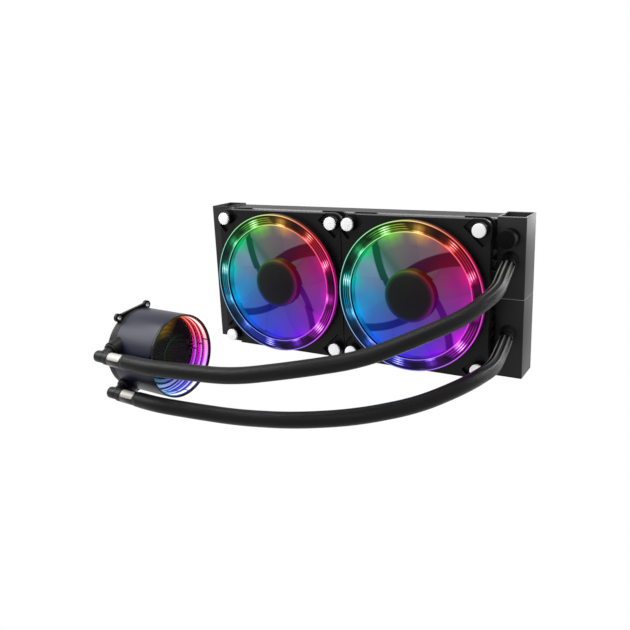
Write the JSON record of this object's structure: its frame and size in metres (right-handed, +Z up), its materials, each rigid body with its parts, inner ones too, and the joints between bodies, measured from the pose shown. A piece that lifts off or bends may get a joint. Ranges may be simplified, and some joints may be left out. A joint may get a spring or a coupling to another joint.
{
  "type": "all in one cpu liquid cooler",
  "caption": "Sealed liquid cooler for a processor: a finned radiator with lit fans on its front, joined by two woven hoses to a round pump head with a mirrored light face.",
  "frame": {"origin": "centre of the footprint, without the hoses, on the plane that the radiator and the pump head stand on", "axes": "+X along the radiator from the plain tank to the tank with the outlets, +Y from the fans' lit side towards the radiator's back, +Z up"},
  "size_m": [0.28, 0.2105, 0.121],
  "materials": {
    "tank_paint": "satin black paint on aluminium",
    "rail_paint": "satin black paint on aluminium",
    "core_paint": "thin black paint on aluminium sheet",
    "bare_aluminium": "mill finish",
    "cap_plastic": "fine grain",
    "frame_plastic": "fine grain",
    "seal_rubber": "matt",
    "pad_rubber": "matt white",
    "ring_mirror": "dark mirror gloss",
    "board_green": "lacquered board",
    "blade_clear": "milky and translucent",
    "steel": "brushed",
    "magnet": "bonded ferrite",
    "bronze": "sintered",
    "coil_copper": "enamelled wire",
    "plate_copper": "machined copper",
    "base_plastic": "satin",
    "shell_metal": "dark satin, faint blue",
    "bezel_gloss": "gloss black",
    "face_glass": "half mirror",
    "light_guide": "frosted light guide",
    "mirror": "polished",
    "fitting_black": "black satin plating",
    "collar_metal": "black with a bright band",
    "hose_weave": "fine black weave"
  },
  "bodies": {
    "cooler": {"port_tank": "tank_paint", "end_tank": "tank_paint", "tank_headers": "core_paint", "tank_divider": "bare_aluminium", "flat_tubes": "core_paint", "fin_strips": "core_paint", "side_rails": "rail_paint", "port_stubs": "tank_paint", "port_ferrules": "fitting_black", "fill_cap": "cap_plastic", "fill_cap_seal": "seal_rubber", "fan_screws": "steel", "fan_pads": "pad_rubber", "pump_base": "base_plastic", "cold_plate": "plate_copper", "cold_plate_screws": "steel", "mount_bracket": "fitting_black", "bracket_bushes": "steel", "pump_shell": "shell_metal", "pump_shaft": "steel", "pump_chamber_cover": "base_plastic", "pump_stator": "coil_copper", "pump_board": "board_green", "mirror_cup": "mirror", "face_led_board": "board_green", "face_light_ring": "light_guide", "face_glass": "face_glass", "face_bezel": "bezel_gloss", "swivel_glands": "fitting_black", "hose_upper": "hose_weave", "hose_lower": "hose_weave", "fan_frame_left": "frame_plastic", "light_ring_left": "ring_mirror", "led_ring_left": "board_green", "shaft_bearing_left": "bronze", "motor_stator_left": "steel", "motor_coils_left": "coil_copper", "motor_board_left": "board_green", "fan_frame_right": "frame_plastic", "light_ring_right": "ring_mirror", "led_ring_right": "board_green", "shaft_bearing_right": "bronze", "motor_stator_right": "steel", "motor_coils_right": "coil_copper", "motor_board_right": "board_green"},
    "fan_rotor_left": {"rotor_left": "blade_clear", "rotor_yoke_left": "steel", "rotor_magnet_left": "magnet", "rotor_shaft_left": "steel"},
    "fan_rotor_right": {"rotor_right": "blade_clear", "rotor_yoke_right": "steel", "rotor_magnet_right": "magnet", "rotor_shaft_right": "steel"},
    "pump_rotor": {"pump_impeller": "base_plastic", "pump_rotor_magnet": "magnet"},
    "fitting_upper": {"elbow_upper": "fitting_black", "collar_upper": "collar_metal"},
    "fitting_lower": {"elbow_lower": "fitting_black", "collar_lower": "collar_metal"}
  },
  "joints": [
    {"name": "fan_spin_left", "type": "hinge", "parent": "cooler", "child": "fan_rotor_left", "pos_m": [-0.0618, 0.07045, 0.0605], "axis": [0, -1, 0], "continuous": true},
    {"name": "fan_spin_right", "type": "hinge", "parent": "cooler", "child": "fan_rotor_right", "pos_m": [0.0587, 0.07045, 0.0605], "axis": [0, -1, 0], "continuous": true},
    {"name": "pump_spin", "type": "hinge", "parent": "cooler", "child": "pump_rotor", "pos_m": [-0.09924, -0.05859, 0.03373], "axis": [0.9981, -0.061, 0], "continuous": true},
    {"name": "fitting_swivel_upper", "type": "hinge", "parent": "cooler", "child": "fitting_upper", "pos_m": [-0.10301, -0.09411, 0.04075], "axis": [-0.0593, -0.9695, -0.2377], "range_deg": [-12, 12], "deforming": ["hose_upper"]},
    {"name": "fitting_swivel_lower", "type": "hinge", "parent": "cooler", "child": "fitting_lower", "pos_m": [-0.10257, -0.08685, 0.01103], "axis": [-0.0593, -0.9695, -0.2377], "range_deg": [-12, 12], "deforming": ["hose_lower"]}
  ]
}
